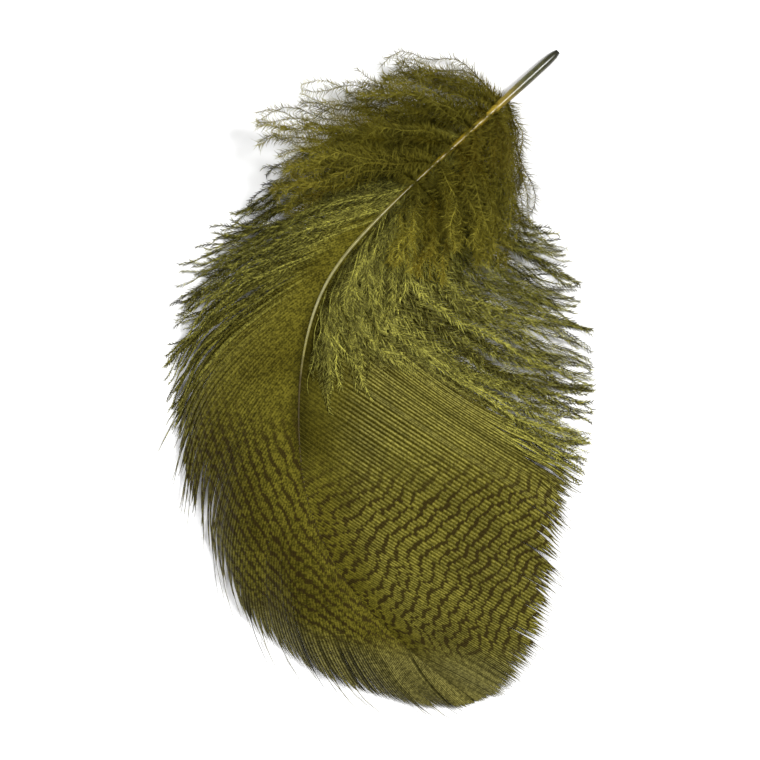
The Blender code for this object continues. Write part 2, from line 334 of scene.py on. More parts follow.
# Barbules, the fine hairs on loose barbs. Spacing, length, radius and curl are in millimetres,
# angles in radians, and the shortest hair and the hair's tip are shares.
BARBULES = {
    "Spacing": 0.15,
    "Length": 1.7,
    "Shortest": 0.5,
    "Radius": 0.052,
    "Tip Share": 0.3,
    "Angle": 0.55,
    "Angle Spread": 0.18,
    "Lift": 0.45,
    "Curl": 0.5,
    "Segments": 1,
    "Lowest": 0.03,
}
LOWER_BARBULES = {**BARBULES, "Spacing": 0.18, "Radius": 0.064}
TUFT_BARBULES = {
    **BARBULES,
    "Spacing": 0.1,
    "Length": 1.5,
    "Radius": 0.04,
    "Tip Share": 0.25,
    "Angle": 0.5,
    "Angle Spread": 0.3,
    "Lift": 0.4,
    "Curl": 1.1,
}
DOWN_BARBULES = {
    **BARBULES,
    "Spacing": 0.1,
    "Length": 2.0,
    "Shortest": 0.4,
    "Radius": 0.042,
    "Tip Share": 0.0,
    "Angle": 0.8,
    "Angle Spread": 0.45,
    "Lift": 1.0,
    "Curl": 1.6,
    "Segments": 2,
}
BARBULE_LENGTHS = ("Spacing", "Length", "Radius", "Curl", "Lowest")
# Barbules get shorter toward a barb's tip: their share of the full length at its root, how much
# of it they lose on the way, and the least and most that the vane's barbs allow.
BARBULE_ROOT = 1.15
BARBULE_LOSS = 0.85
BARBULE_LIMITS = (0.25, 1.0)
DOWN_BARBULE_ROOT = 1.05
SOFT_BARBULE_LOSS = 0.5
VANE_BARBULE_SEED = 3
LAYER_BARBULE_SEEDS = 10
TUFT_BARBULE_SEED = 21
DOWN_BARBULE_SEED = 9
# Where a barb asks for barbules shorter than this share of the full length, none grow.
SHORTEST_BARBULE = 0.12
RISE_CHANGE = (-0.6, 1.0)
CURL_SCALE = 700.0
# How much of a barbule's tone is its barb's. The rest is its own.
SHARED_TONE = 0.35
SOFT_BARB_THICKNESS = 0.7

# Colours, as screen values from 0 to 255.
OLIVE = ((74, 68, 17), (90, 84, 25))
LOOSE_BARBS = ((42, 36, 2), (178, 174, 80))
# Painted highlight on the tips of loose barbs' barbules.
BARBULE_TIP_HIGHLIGHT = (170, 167, 96)
PLAIN_TIP = (86, 80, 36)
# Painted highlight colour on the barbs' ridges.
RIDGE_HIGHLIGHT = (168, 165, 104)
BAR_BROWN = (38, 29, 11)
OLIVE_SHEEN = (190, 180, 90)
DARK_DOWN = ((28, 24, 2), (64, 57, 6))
BROWN_DOWN = (70, 56, 5)
# Pale down hairs, and the painted highlight on the down's tips.
PALE_DOWN = (142, 134, 52)
# Share of the shaft's length and its colour there: grey quill, yellow base, cream, brown.
SHAFT_COLOURS = (
    (0.0, (24, 23, 14)),
    (0.012, (60, 60, 36)),
    (0.06, (86, 86, 50)),
    (0.1, (150, 128, 40)),
    (0.16, (130, 110, 22)),
    (0.27, (84, 74, 4)),
    (0.33, (120, 113, 58)),
    (0.45, (132, 127, 80)),
    (0.505, (116, 109, 46)),
    (0.545, (62, 52, 15)),
    (0.8, (46, 36, 16)),
    (1.0, (58, 48, 24)),
)
BAR_STRENGTH = 0.92
# Half a bar's width as a share of its period, and how softly its edge fades.
HALF_BAR = 0.165
BAR_EDGE = (-0.07, 0.06)
BAR_RAGGED = (-0.03, 0.03)
BAR_UNEVEN = (-0.08, 0.05)
# How much a barb's tone moves its bars, and how fast the steps change outward along barbs.
TONE_STEPS_BARS = 0.22
JOGS_CHANGE_OUTWARD = 0.3
# Ripples in the web from its barbules, in radians for each millimetre along the barb.
BARBULE_RIBS = 52.0
RIB_STRENGTH = 0.25
RIB_HEIGHT = 0.03
# Where ridge turns to web for the colour and the gloss, and farther into the web for its level.
RIDGE_TO_WEB = (0.1, 0.6)
RIDGE_TO_DEEP_WEB = (0.1, 0.75)
# How strong the painted highlight on a ridge is, and the brightness painted on the ridge, a
# highlight, and deep in the web, shade between the barbs.
RIDGE_HIGHLIGHT_SHARE = 0.2
RIDGE_HIGHLIGHT_WEB_SHADE_LEVELS = (1.34, 0.42)
BARB_ROUGHNESS = (0.3, 0.8)
# The least painted ridge highlight and web shade on any barb.
LEAST_PAINTED_RIDGE_LIGHT = 0.2
# The darkest and the brightest barb, and the few of the plain tip that are nearly brown.
BARB_LEVELS = (0.74, 1.24)
BROWNEST_BARBS = 0.16
BROWN_BARB_LOSS = 0.75
# Two grains added together: the stretch of their sum that is used, and what it does.
SPECKLE_FROM = (0.72, 1.28)
SPECKLE_LEVELS = (-0.48, 0.46)
# Loose barbs go from dark to pale over these tones, and their barbules' tips get a painted highlight.
LOOSE_TONES = (0.2, 0.9)
LOOSE_TIP_HIGHLIGHT_SHARE = 0.3
# Down: how few hairs are pale, how much paler they are far out, and how strong the painted highlight
# on their tips is.
PALE_HAIR_POWER = 1.8
DOWN_REACH = (0.1, 1.0)
DOWN_REACH_LEVELS = (0.7, 1.2)
DOWN_TIP_HIGHLIGHT_SHARE = 0.35
# The shaft: how streaky the horn is, how rough, and where the quill stops being clear.
HORN_LEVELS = (0.8, 1.16)
HORN_BUMP_STRENGTH = 0.5
HORN_BUMP_HEIGHT = 0.06
QUILL_CLEARNESS = 0.45
QUILL_CLEAR_ENDS = (0.08, 0.12)
# Scales of the patterns, in waves a metre, or a millimetre for the bars' own.
BROAD_PATCHES = 160.0
BROWN_PATCHES = 130.0
DOWN_PATCHES = 300.0
UNEVEN_BARS = 1100.0
COARSE_GRAIN = 2600.0
FINE_GRAIN = 5200.0
HORN_STREAKS = 1400.0
HORN_BUMPS = 1100.0
JOG_SCALE = 0.62
SWEEP_SCALE = 0.16
FLOOR_CLOUDS = 6.0
FLOOR_LEVELS = (0.9, 0.93)
# The stretch of a pattern's values that is used: of most of them, for soft patches, for brown.
MOST_OF_NOISE = (0.3, 0.7)
PATCH_EDGE = (0.35, 0.65)
BROWN_EDGE = (0.48, 0.68)

# The camera and the floor, in metres.
VIEW_WIDTH = 0.079
LENS = 100.0
SENSOR = 36.0
SHARP_HEIGHT = 0.004
FLOOR_HALF = 2.5


def smooth_step(low, high, value):
    share = np.clip((value - low) / (high - low), 0.0, 1.0)
    return share * share * (3.0 - 2.0 * share)


def eased(rows, column, at):
    """The column's values at distances along the shaft, on a smooth curve through the rows."""
    places = rows[:, 0]
    values = rows[:, column]
    before = np.concatenate(([0], np.arange(len(rows) - 1)))
    after = np.concatenate((np.arange(1, len(rows)), [len(rows) - 1]))
    slopes = (values[after] - values[before]) / (places[after] - places[before])
    at = np.clip(at, places[0], places[-1])
    i = np.clip(np.searchsorted(places, at) - 1, 0, len(rows) - 2)
    width = places[i + 1] - places[i]
    t = (at - places[i]) / width
    return (
        (2 * t**3 - 3 * t**2 + 1) * values[i]
        + (t**3 - 2 * t**2 + t) * width * slopes[i]
        + (3 * t**2 - 2 * t**3) * values[i + 1]
        + (t**3 - t**2) * width * slopes[i + 1]
    )


def trace_shaft():
    """Plan points along the shaft, one every SHAFT_STEP."""
    middles = (np.arange(round(SHAFT_LENGTH / SHAFT_STEP)) + 0.5) * SHAFT_STEP
    angles = np.radians(eased(SHAFT, 1, middles))
    x = SHAFT_START[0] + np.concatenate(([0.0], np.cumsum(SHAFT_STEP * np.sin(angles))))
    y = SHAFT_START[1] - np.concatenate(([0.0], np.cumsum(SHAFT_STEP * np.cos(angles))))
    return x, y


SHAFT_X, SHAFT_Y = trace_shaft()
SHAFT_PLACES = np.arange(len(SHAFT_X)) * SHAFT_STEP


def shaft_points(at):
    """Points on the shaft's centre line, as one array with x, y and z last."""
    x = np.interp(at, SHAFT_PLACES, SHAFT_X)
    y = np.interp(at, SHAFT_PLACES, SHAFT_Y)
    return np.stack((x, y, eased(SHAFT, 2, at)), axis=-1)


def rim_height(side, at):
    return RIM_HEIGHT + RIM_CURL * (0.5 - 0.5 * np.cos(at * RIM_WAVE + side))


def barb_points(side, at, along):
    """Points on barbs: `along` runs from 0 at the shaft to 1 at the rim."""
    root = shaft_points(at)
    rim_x = eased(BARBS[side], 2, at)
    rim_y = eased(BARBS[side], 3, at)
    chord = np.hypot(rim_x - root[..., 0], rim_y - root[..., 1])
    heading = np.radians(eased(SHAFT, 1, at) + side * eased(BARBS[side], 1, at))
    handle_x = root[..., 0] + BARB_HANDLE[side] * chord * np.sin(heading)
    handle_y = root[..., 1] - BARB_HANDLE[side] * chord * np.cos(heading)
    near = (1.0 - along) ** 2
    middle = 2.0 * along * (1.0 - along)
    far = along**2
    x = near * root[..., 0] + middle * handle_x + far * rim_x
    y = near * root[..., 1] + middle * handle_y + far * rim_y
    droop = np.clip(along, 0.0, 1.0) ** DROOP_POWER
    z = root[..., 2] + (rim_height(side, at) - root[..., 2]) * droop
    return np.stack((x, y, z), axis=-1)


def unit(vectors):
    return vectors / np.maximum(np.linalg.norm(vectors, axis=-1, keepdims=True), 1e-9)


def upper_face(points):
    """For each point of the strands, the way up at a right angle to the strand."""
    tangent = unit(np.gradient(points, axis=1))
    return unit(UP - tangent * tangent[..., 2:])


def make_object(name, mesh):
    made = bpy.data.objects.new(name, mesh)
    bpy.context.scene.collection.objects.link(made)
    return made


def make_strands(name, points, attributes):
    """Strands as a mesh of edges: points is (strand, point, xyz), attributes likewise."""
    strands, count = points.shape[:2]
    first = np.arange(strands * count).reshape(strands, count)
    edges = np.stack((first[:, :-1].ravel(), first[:, 1:].ravel()), axis=-1)
    mesh = bpy.data.meshes.new(name)
    mesh.vertices.add(strands * count)
    mesh.edges.add(len(edges))
    placed = (points.reshape(-1, 3) + SET_DOWN) * METRES
    mesh.vertices.foreach_set("co", placed.ravel())
    mesh.edges.foreach_set("vertices", edges.ravel())
    for key, values in attributes.items():
        is_vector = values.ndim == 3
        layer = mesh.attributes.new(key, "FLOAT_VECTOR" if is_vector else "FLOAT", "POINT")
        layer.data.foreach_set("vector" if is_vector else "value", values.astype(np.float32).ravel())
    mesh.update()
    return make_object(name, mesh)


def fill(tree, node, inputs):
    """Fills a node's inputs, each with a value or with another node's output."""
    for key, value in inputs.items():
        if isinstance(value, bpy.types.NodeSocket):
            tree.links.new(value, node.inputs[key])
        else:
            node.inputs[key].default_value = value


def add_node(tree, kind, inputs=None, **settings):
    """A node with its settings made and its inputs filled."""
    node = tree.nodes.new(kind)
    for key, value in settings.items():
        setattr(node, key, value)
    fill(tree, node, inputs or {})
    return node


def output_of(tree, kind, inputs=None, output=0, **settings):
    """One output of a new node, its first where no other is asked for."""
    return add_node(tree, kind, inputs, **settings).outputs[output]


def maths(tree, operation, first, second=0.0, **settings):
    inputs = {0: first, 1: second}
    return output_of(tree, "ShaderNodeMath", inputs, operation=operation, **settings)


def product(tree, first, *others):
    for other in others:
        first = maths(tree, "MULTIPLY", first, other)
    return first


def total(tree, first, *others):
    for other in others:
        first = maths(tree, "ADD", first, other)
    return first


def rest(tree, share):
    """What a share leaves of the whole."""
    return maths(tree, "SUBTRACT", 1.0, share)


def vector_maths(tree, operation, first, second):
    inputs = {0: first, 1: second}
    return output_of(tree, "ShaderNodeVectorMath", inputs, operation=operation)


def scaled(tree, way, factor):
    inputs = {0: way, "Scale": factor}
    return output_of(tree, "ShaderNodeVectorMath", inputs, operation="SCALE")


def vector(tree, x, y, z):
    return output_of(tree, "ShaderNodeCombineXYZ", {"X": x, "Y": y, "Z": z})


def new_tree(name, kinds):
    """A geometry tree, its given inputs and its group output; kinds are the inputs' kinds."""
    tree = bpy.data.node_groups.new(name, "GeometryNodeTree")
    for label, kind in {"Strands": "Geometry", **kinds, "Material": "Material"}.items():
        tree.interface.new_socket(label, in_out="INPUT", socket_type="NodeSocket" + kind)
    tree.interface.new_socket("Mesh", in_out="OUTPUT", socket_type="NodeSocketGeometry")
    source = tree.nodes.new("NodeGroupInput")
    result = tree.nodes.new("NodeGroupOutput")
    return tree, source.outputs, result


def recall(tree, name, kind="FLOAT"):
    """What the strands say under this name."""
    inputs = {"Name": name}
    return output_of(tree, "GeometryNodeInputNamedAttribute", inputs, "Attribute", data_type=kind)


def store(tree, geometry, name, value):
    inputs = {"Geometry": geometry, "Name": name, "Value": value}
    kind = "GeometryNodeStoreNamedAttribute"
    return output_of(tree, kind, inputs, data_type="FLOAT", domain="POINT")


def position(tree):
    return output_of(tree, "GeometryNodeInputPosition")


def position_axes(tree):
    return add_node(tree, "ShaderNodeSeparateXYZ", {"Vector": position(tree)}).outputs


def seeded(tree, seed, offset, low, high):
    """A random number for each point, from the tree's seed and the draw's own offset."""
    own = output_of(tree, "FunctionNodeIntegerMath", {0: seed, 1: offset})
    inputs = {2: low, 3: high, "Seed": own}
    return output_of(tree, "FunctionNodeRandomValue", inputs, 1, data_type="FLOAT")


def faced_curves(tree, strands):
    """The strands as curves whose normals are the strands' own upper faces."""
    line = output_of(tree, "GeometryNodeMeshToCurve", {"Mesh": strands})
    inputs = {"Curve": line, "Normal": recall(tree, "up", "FLOAT_VECTOR")}
    return output_of(tree, "GeometryNodeSetCurveNormal", inputs, mode="FREE")


def finish_tree(tree, geometry, smooth, material, result):
    """Shades, realizes and coats the geometry as the tree's last steps."""
    inputs = {"Geometry": geometry, "Shade Smooth": smooth}
    shaded = output_of(tree, "GeometryNodeSetShadeSmooth", inputs)
    real = output_of(tree, "GeometryNodeRealizeInstances", {"Geometry": shaded})
    inputs = {"Geometry": real, "Material": material}
    coated = output_of(tree, "GeometryNodeSetMaterial", inputs)
    fill(tree, result, {"Mesh": coated})


def strand_tree():
    """Sweeps a flattened round section along each strand, as wide as the strand says."""
    kinds = {"Section Points": "Int", "Section Thickness": "Float", "Smooth": "Bool"}
    tree, given, result = new_tree("sweep_strands", kinds)
    inputs = {"Resolution": given["Section Points"], "Radius": METRES}
    ring = output_of(tree, "GeometryNodeCurvePrimitiveCircle", inputs)
    squeeze = vector(tree, given["Section Thickness"], 1.0, 1.0)
    flat = output_of(tree, "GeometryNodeTransform", {"Geometry": ring, "Scale": squeeze})
    from_ridge = maths(tree, "ABSOLUTE", position_axes(tree)["Y"])
    inputs = {
        "Curve": faced_curves(tree, given["Strands"]),
        "Profile Curve": store(tree, flat, "web", maths(tree, "DIVIDE", from_ridge, METRES)),
        "Scale": recall(tree, "half_width"),
        "Fill Caps": True,
    }
    swept = output_of(tree, "GeometryNodeCurveToMesh", inputs)
    finish_tree(tree, swept, given["Smooth"], given["Material"], result)
    return tree


def barbule_turn(tree, given, tangent, normal):
    """Each barbule's turn: to the left and the right of its barb by turns, and a little up."""
    parity = maths(tree, "MODULO", output_of(tree, "GeometryNodeInputIndex"), 2.0)
    side = maths(tree, "SUBTRACT", product(tree, parity, 2.0), 1.0)
    sideways = vector_maths(tree, "CROSS_PRODUCT", normal, tangent)
    spread = product(tree, given["Angle Spread"], seeded(tree, given["Seed"], 1, -1.0, 1.0))
    angle = total(tree, given["Angle"], spread)
    forward = scaled(tree, tangent, maths(tree, "COSINE", angle))
    outward = scaled(tree, sideways, product(tree, maths(tree, "SINE", angle), side))
    rise = product(tree, given["Lift"], seeded(tree, given["Seed"], 2, *RISE_CHANGE))
    level = vector_maths(tree, "ADD", forward, outward)
    direction = vector_maths(tree, "ADD", level, scaled(tree, normal, rise))
    inputs = {"Primary Axis": direction, "Secondary Axis": normal}
    kind = "FunctionNodeAxesToRotation"
    return output_of(tree, kind, inputs, primary_axis="Z", secondary_axis="X")


def barbule_size(tree, given, share):
    """Each barbule's radius and length, as far as its barb lets it grow."""
    change = product(tree, seeded(tree, given["Seed"], 3, 0.0, 1.0), rest(tree, given["Shortest"]))
    own = total(tree, given["Shortest"], change)
    return vector(tree, given["Radius"], given["Radius"], product(tree, share, given["Length"], own))


def barbule_tone(tree, given):
    """A tone for each barbule, partly its barb's and partly its own."""
    own = seeded(tree, given["Seed"], 4, 0.0, 1.0 - SHARED_TONE)
    return total(tree, product(tree, recall(tree, "tone"), SHARED_TONE), own)


def curl_and_lay(tree, given, barbules):
    """Bends realized barbules, most at their tips, and keeps them off the surface below."""
    inputs = {"Vector": position(tree), "Scale": CURL_SCALE, "Detail": 1.0}
    drift = output_of(tree, "ShaderNodeTexNoise", inputs, "Color", noise_dimensions="3D")
    drift = vector_maths(tree, "SUBTRACT", drift, (0.5, 0.5, 0.5))
    drift = scaled(tree, drift, product(tree, recall(tree, "tipward"), given["Curl"]))
    inputs = {"Geometry": barbules, "Offset": drift}
    curled = output_of(tree, "GeometryNodeSetPosition", inputs)
    axes = position_axes(tree)
    above = vector(tree, axes["X"], axes["Y"], maths(tree, "MAXIMUM", axes["Z"], given["Lowest"]))
    return output_of(tree, "GeometryNodeSetPosition", {"Geometry": curled, "Position": above})


def barbule_tree():
    """Sets fine tapered hairs along both sides of each strand and bends them a little."""
    kinds = {**dict.fromkeys(BARBULES, "Float"), "Segments": "Int", "Seed": "Int"}
    tree, given, result = new_tree("grow_barbules", kinds)
    inputs = {"Curve": faced_curves(tree, given["Strands"]), "Length": given["Spacing"]}
    roots = add_node(tree, "GeometryNodeCurveToPoints", inputs, mode="LENGTH").outputs
    inputs = {
        "Vertices": 3,
        "Side Segments": given["Segments"],
        "Fill Segments": 1,
        "Radius Top": given["Tip Share"],
        "Radius Bottom": 1.0,
        "Depth": 1.0,
    }
    hair = output_of(tree, "GeometryNodeMeshCone", inputs, fill_type="NGON")
    share = recall(tree, "barbule_length")
    inputs = {"A": share, "B": SHORTEST_BARBULE}
    kind = "FunctionNodeCompare"
    wanted = output_of(tree, kind, inputs, data_type="FLOAT", operation="GREATER_THAN")
    inputs = {
        "Points": store(tree, roots["Points"], "tone", barbule_tone(tree, given)),
        "Selection": wanted,
        "Instance": store(tree, hair, "tipward", position_axes(tree)["Z"]),
        "Rotation": barbule_turn(tree, given, roots["Tangent"], roots["Normal"]),
        "Scale": barbule_size(tree, given, share),
    }
    grown = output_of(tree, "GeometryNodeInstanceOnPoints", inputs)
    real = output_of(tree, "GeometryNodeRealizeInstances", {"Geometry": grown})
    finish_tree(tree, curl_and_lay(tree, given, real), True, given["Material"], result)
    return tree


def grow(name, points, attributes, tree, values):
    """Runs a tree on strands and keeps the result as a plain mesh object."""
    work = make_strands(name + "_work", points, attributes)
    modifier = work.modifiers.new("grow", "NODES")
    modifier.node_group = tree
    for item in tree.interface.items_tree:
        if item.item_type == "SOCKET" and item.in_out == "INPUT" and item.name in values:
            modifier[item.identifier] = values[item.name]
    graph = bpy.context.evaluated_depsgraph_get()
    mesh = bpy.data.meshes.new_from_object(
        work.evaluated_get(graph), preserve_all_data_layers=True, depsgraph=graph
    )
    bpy.data.objects.remove(work)
    mesh.name = name
    return make_object(name, mesh)


def clumps(rng, starts, size, split, taper, lift):
    """Gathers neighbouring barbs in locks: for each barb its lock's middle and habits."""
    edges = [starts[0] - BEFORE_FIRST_BARB]
    while edges[-1] < starts[-1]:
        edges.append(edges[-1] + size * rng.uniform(*LOCK_SIZE_CHANGE))
    edges = np.array(edges)
    lock = np.clip(np.searchsorted(edges, starts) - 1, 0, len(edges) - 2)
    middles = 0.5 * (edges[:-1] + edges[1:])
    habits = {
        "middle": middles,
        "split": rng.uniform(*split, len(middles)),
        "taper": rng.uniform(*taper, len(middles)),
        "lift": rng.uniform(*lift, len(middles)),
        "phase": rng.uniform(0.0, 1.0, len(middles)),
        "length": rng.uniform(-1.0, 1.0, len(middles)),
    }
    return {key: values[lock][:, None] for key, values in habits.items()}


def gathered(habits, at, along):
    """How far barbs are drawn to their lock's middle, and how open the lock is there."""
    opened = np.clip((along - habits["split"]) / (1.0 - habits["split"]), 0.0, 1.0)
    return (habits["middle"] - at) * habits["taper"] * opened**GATHER_POWER, opened


def looseness(side, at, distance):
    """1 where barbs hang loose and fluffy, 0 where their hooks hold them in a flat vane."""
    edge = np.interp(distance, *zip(*FLUFF_EDGE[side]))
    by_place = 1.0 - smooth_step(edge - FLUFF_BLUR[side], edge + FLUFF_BLUR[side], at)
    beside_shaft = 1.0 - smooth_step(*HOOKED_REACH[side], distance)
    hooked = smooth_step(*HOOKED_ROOTS[side], at) * beside_shaft
    return by_place * (1.0 - hooked)


def parted(side, at, along):
    """How far barbs beside a parting are pushed aside, as millimetres of shaft."""
    pushed = np.zeros_like(at * along)
    for place, half_gap, start in PARTINGS[side]:
        nearness = np.exp(-np.abs(at - place) / PARTING_FADES)
        opened = smooth_step(start, start + PARTING_OPENS, along)
        pushed += np.sign(at - place) * half_gap * nearness * opened
    return pushed


def barb_roots(rng, side, layer):
    """Distances along the shaft where one layer's barbs leave it."""
    spacing = BARB_SPACING[side]
    end = FLUFF_END[side] if layer else SHAFT_LENGTH
    starts = np.arange(VANE_START + layer * spacing / FLUFF_LAYERS, end, spacing)
    return starts + rng.uniform(-SPACING_CHANGE, SPACING_CHANGE, len(starts)) * spacing


def fluffy_and_free(rng, side, at, along):
    """Along each barb, how fluffy it is and how free it hangs at its tip."""
    root = barb_points(side, at, np.zeros_like(at))
    rim = barb_points(side, at, np.ones_like(at))
    straight = np.linalg.norm(rim - root, axis=-1)
    shuffled = at + rng.normal(0.0, FLUFF_STRAYS_DOWN, at.shape)
    distance = along * straight + rng.normal(0.0, FLUFF_STRAYS_OUT, at.shape)
    fluff = looseness(side, shuffled, distance)
    free_from = FREE_FROM[side] - FREE_SOONER[side] * (1.0 - smooth_step(*FIRM_FROM, at))
    free_from = free_from + rng.uniform(-FREE_CHANGE, FREE_CHANGE, at.shape)
    return fluff, smooth_step(free_from, 1.0, along)


def tip_lean(rng, side, at, fluff, free):
    """How far free tips lean toward the feather's tip, as millimetres of shaft."""
    to_tip = np.clip((SHAFT_LENGTH - at) / LEAN_ENDS_WITHIN, 0.0, 1.0)
    lean = TIP_LEAN[side] * rng.uniform(*LEAN_CHANGE, at.shape) * to_tip
    firm = 1.0 - LEAN_LOSS_BELOW * smooth_step(*LEAN_FALLS, at)
    return lean * free**LEAN_POWER * (1.0 - LEAN_LOSS_IN_FLUFF * fluff) * firm


def barb_lengths(rng, side, at, fluff, small, large):
    """Each barb's length as a share of the way to the rim, past 1 for stray ends."""
    change = LENGTH_CHANGE + LENGTH_CHANGE_IN_FLUFF * fluff
    length = 1.0 + change * rng.normal(0.0, 1.0, at.shape)
    length = length + LARGE_LOCK_LENGTH_CHANGE * large["length"]
    length = length + SMALL_LOCK_LENGTH_CHANGE * fluff * small["length"]
    has_stray = rng.uniform(0.0, 1.0, at.shape) < STRAY_SHARE[side]
    stray = has_stray * rng.uniform(SHORTEST_STRAY, STRAY_LENGTH[side], at.shape)
    return np.clip(length + stray * (1.0 - fluff), SHORTEST_BARB, 1.0 + STRAY_LENGTH[side])


def barb_faces(side, place, reach, points):
    """The way across to the next barb, as long as the step to it, and the upper face."""
    tangent = unit(np.gradient(points, axis=1))
    step = barb_points(side, place + NEIGHBOUR, reach) - barb_points(side, place - NEIGHBOUR, reach)
    across = step / (2.0 * NEIGHBOUR) * BARB_SPACING[side]
    across = across - tangent * np.sum(across * tangent, axis=-1, keepdims=True)
    up = np.cross(tangent, across)
    return across, unit(np.where(up[..., 2:] < 0.0, -up, up))


def barb_widths(across, along, reach, fluff, free):
    """Half widths: the web to the next barb, a thin loose barb in the fluff, a hair at the end."""
    web = WEB_SHARE * (1.0 - WEB_LOSS * free)
    half_width = np.clip(np.linalg.norm(across, axis=-1) * web, *WEB_LIMITS)
    half_width = half_width + (LOOSE_BARB * (1.0 - LOOSE_TAPER * along) - half_width) * fluff
    to_hair = smooth_step(*HAIR_FROM, reach) * (1.0 - fluff)
    half_width = half_width + (HAIR - half_width) * to_hair
    return np.maximum(half_width * (1.0 - TIP_NARROWING * smooth_step(*TIP_NARROWS, along)), THINNEST)


def barb_shade(side, at, distance, fluff):
    """How much light reaches the barbs: less at their roots and in the fluff."""
    upper = 1.0 - smooth_step(*UPPER_HALF_ENDS, at)
    at_root = (1.0 - smooth_step(*ROOT_REACH, distance)) * upper
    beside = 1.0 - smooth_step(*SHAFT_SHADE_REACH, distance)
    beside = beside * smooth_step(*SHAFT_SHADE_FROM, at) * upper
    web = WEB_SHADE[side] * (1.0 - ROOT_SHADE[side] * at_root) * (1.0 - SHAFT_SHADE * beside)
    from_base = BASE_SHADE + (1.0 - BASE_SHADE) * smooth_step(*BASE_SHADE_ENDS, at)
    in_fluff = from_base * (1.0 - FLUFF_SHADE[side] * smooth_step(*FLUFF_SHADE_FROM, distance))
    return web * (1.0 - fluff) + in_fluff * fluff


def faded(fade, at, distance):
    """0 before the fade's start and 1 past its end, which come sooner farther out on a barb."""
    low, high, sooner = fade
    return smooth_step(low, high, at + sooner * distance)


def barb_markings(rng, side, at, along, points, fluff, free):
    """What the barb material reads on each barb: its bars, its painted highlight on ridges and
    painted shade in the web, its shade and tone.
    """
    steps = np.linalg.norm(np.diff(points, axis=1), axis=-1)
    distance = np.concatenate((np.zeros(at.shape), np.cumsum(steps, axis=1)), axis=1)
    barred = faded(BAR_FADE_IN[side], at, distance)
    tip_zone = faded(BAR_FADE_OUT[side], at, distance)
    # Painted highlight on the ridges and painted shade in the web between barbs.
    ridge_lights_and_web_shades = PAINTED_RIDGE_LIGHT[side] * smooth_step(*PAINTED_RIDGE_LIGHT_FROM, distance)
    ridge_lights_and_web_shades = ridge_lights_and_web_shades * (1.0 - PAINTED_RIDGE_LIGHT_LOSS_IN_BARS * barred)
    ridge_lights_and_web_shades = ridge_lights_and_web_shades + FREE_PAINTED_RIDGE_LIGHT[side] * free + TIP_PAINTED_RIDGE_LIGHT * tip_zone
    barring = barred * (1.0 - BAR_LOSS_IN_TIP * tip_zone) * (1.0 - fluff)
    barring = barring * (1.0 - BAR_LOSS_AT_RIM * smooth_step(*RIM_FROM, along))
    near_jog, far_jog = BAR_JOGS[side]
    same = np.ones_like(distance)
    return {
        "place": same * (at + SIDE_OFFSET * side),
        "bar_phase": (at + distance / BAR_CROSSING[side]) / BAR_PERIOD[side],
        "jog": near_jog + (far_jog - near_jog) * smooth_step(*JOGS_CHANGE, distance),
        "sweep": same * BAR_SWEEPS[side],
        "barring": barring,
        "tip_zone": tip_zone,
        "ridge_light_and_web_shade": np.clip(ridge_lights_and_web_shades, 0.0, 1.0),
        "grain": same * GRAIN[side],
        "shade": barb_shade(side, at, distance, fluff),
        "tone": same * rng.uniform(0.0, 1.0, at.shape),
        "reach": distance,
        "fluff": fluff,
    }


def vane_strands(side, layer):
    """One layer of a vane's barbs, each a strand with its width, its face and its markings."""
    rng = np.random.default_rng(VANE_SEED + side + LAYER_SEED_STEP * layer)
    starts = barb_roots(rng, side, layer)
    at = starts[:, None]
    along = np.linspace(0.0, 1.0, BARB_POINTS)[None, :]
    fluff, free = fluffy_and_free(rng, side, at, along)
    small = clumps(rng, starts, **SMALL_LOCKS)
    large = clumps(rng, starts, **LARGE_LOCKS)
    small_shift, _ = gathered(small, at, along)
    large_shift, large_open = gathered(large, at, along)
    place = at + small_shift * fluff + large_shift + parted(side, at, along)
    place = place + tip_lean(rng, side, at, fluff, free)
    place = place + rng.normal(0.0, RESTLESS[side], at.shape) * free
    length = barb_lengths(rng, side, at, fluff, small, large)
    reach = along * (1.0 + (length - 1.0) * smooth_step(*LENGTHENED, along))
    points = barb_points(side, place, reach)
    across, up = barb_faces(side, place, reach, points)

    wave = np.sin(FULL_TURN * (along * WAVE_TURNS + small["phase"])) * along
    ripple = np.sin(FULL_TURN * (along * RIPPLE_TURNS + rng.uniform(0.0, 1.0, at.shape))) * along
    sway = fluff * (WAVE_SIZE * wave + RIPPLE_SIZE * ripple) + RIPPLE_AT_TIPS * ripple * free
    points = points + unit(across) * sway[..., None]
    lift = fluff * small["lift"] * np.sin(math.pi * along) ** LIFT_POWER
    lift = lift + large["lift"] * large_open * (1.0 - along) * LARGE_LIFT
    lift = lift + rng.uniform(-UNEVEN, UNEVEN, at.shape)
    points[..., 2] += lift - layer * (LAYER_STEP + LAYER_DROP * fluff * along)
    points[..., 2] = np.maximum(points[..., 2], LOWEST_BARB)

    attributes = {
        "up": unit(up - SHINGLE_TILT * unit(across)),
        "half_width": barb_widths(across, along, reach, fluff, free),
        "barbule_length": fluff * np.clip(BARBULE_ROOT - BARBULE_LOSS * along, *BARBULE_LIMITS),
    }
    attributes.update(barb_markings(rng, side, at, along, points, fluff, free))
    return points, attributes


